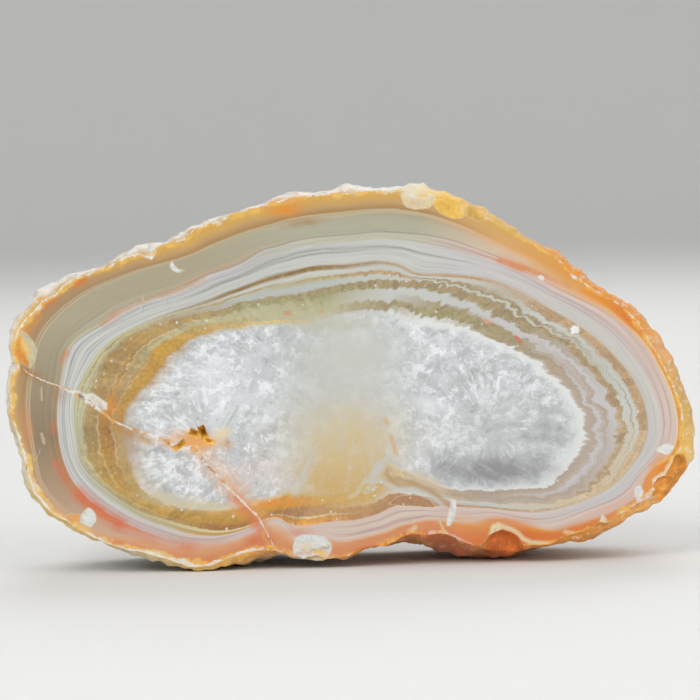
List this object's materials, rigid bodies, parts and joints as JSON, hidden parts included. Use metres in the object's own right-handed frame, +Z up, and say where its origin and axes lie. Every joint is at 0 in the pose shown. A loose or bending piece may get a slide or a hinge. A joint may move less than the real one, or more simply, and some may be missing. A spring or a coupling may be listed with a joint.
{
  "type": "agate slice",
  "caption": "Thick upright slab of banded agate with a polished front, white quartz core, orange rim, healed crack with a small open pit, chipped lower edge and rough pale rind.",
  "frame": {"origin": "on the ground, under the middle of the slice's width and thickness", "axes": "+X to the right across the polished face, +Y from the polished front to the sawn back, +Z up"},
  "size_m": [0.093, 0.019, 0.052],
  "materials": {
    "banded_agate": "polished on the front, smooth sawn back, rough pale rind round the rim"
  },
  "bodies": {
    "root": {"agate_slice": "banded_agate"}
  },
  "joints": []
}
